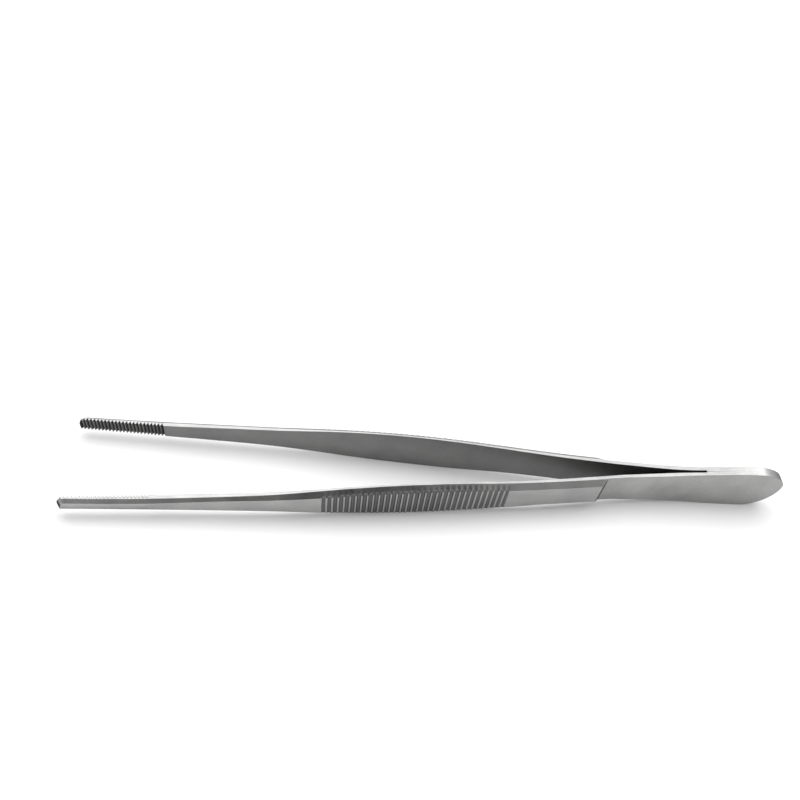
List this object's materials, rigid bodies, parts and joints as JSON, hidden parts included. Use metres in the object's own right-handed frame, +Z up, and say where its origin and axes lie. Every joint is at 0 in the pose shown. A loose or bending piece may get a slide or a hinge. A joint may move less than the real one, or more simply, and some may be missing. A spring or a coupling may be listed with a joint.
{
  "type": "thumb forceps",
  "caption": "Plain thumb dressing forceps with serrated blunt jaws, a grooved finger grip and a rounded flat heel, lying on its side.",
  "frame": {"origin": "centre of the box that holds the forceps, on the surface that it lies on", "axes": "+X from the tips to the heel, +Y across the opening from the near arm to the far arm, +Z up from the surface that the forceps lies on"},
  "size_m": [0.145, 0.0204, 0.0113],
  "materials": {
    "steel": "satin ground stainless steel"
  },
  "bodies": {
    "root": {"near_arm": "steel", "far_arm": "steel"}
  },
  "joints": []
}
